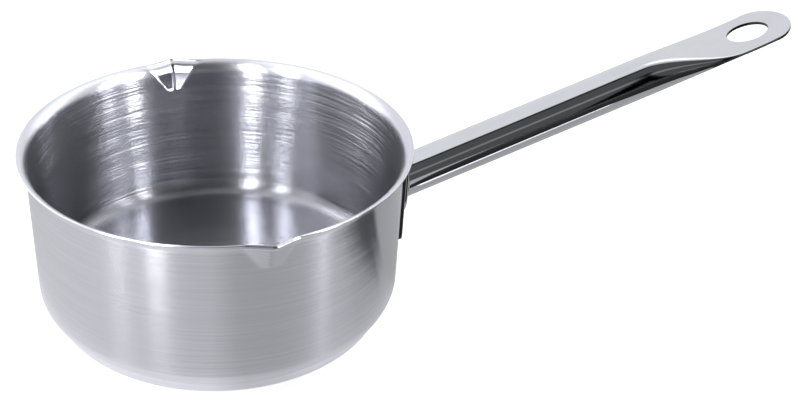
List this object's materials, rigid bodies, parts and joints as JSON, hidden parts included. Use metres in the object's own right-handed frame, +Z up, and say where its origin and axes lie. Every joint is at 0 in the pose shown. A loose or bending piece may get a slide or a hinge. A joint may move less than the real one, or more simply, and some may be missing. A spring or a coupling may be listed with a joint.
{
  "type": "milk pan",
  "caption": "Stainless steel milk pan with flared pouring rim, pressed lips on both sides, encapsulated base and hollow handle with hanging eye.",
  "frame": {"origin": "middle of the underside of the base, where the pan stands on the hob", "axes": "+Z up along the axis of the pan, +X outward along the handle, +Y and -Y through the two pouring lips"},
  "size_m": [0.3665, 0.176, 0.1014],
  "materials": {
    "brushed_pan_steel": "brushed round the axis, smooth satin rim",
    "core_aluminium": "as rolled, closed in",
    "base_steel": "fine turned satin",
    "polished_mount_steel": "mirror polished steel",
    "polished_handle_steel": "mirror polished steel",
    "weld_steel": "polished over weld bead"
  },
  "bodies": {
    "root": {"pan_body": "brushed_pan_steel", "base_core": "core_aluminium", "base_cap": "base_steel", "handle_mount": "polished_mount_steel", "handle": "polished_handle_steel", "handle_weld": "weld_steel"}
  },
  "joints": []
}
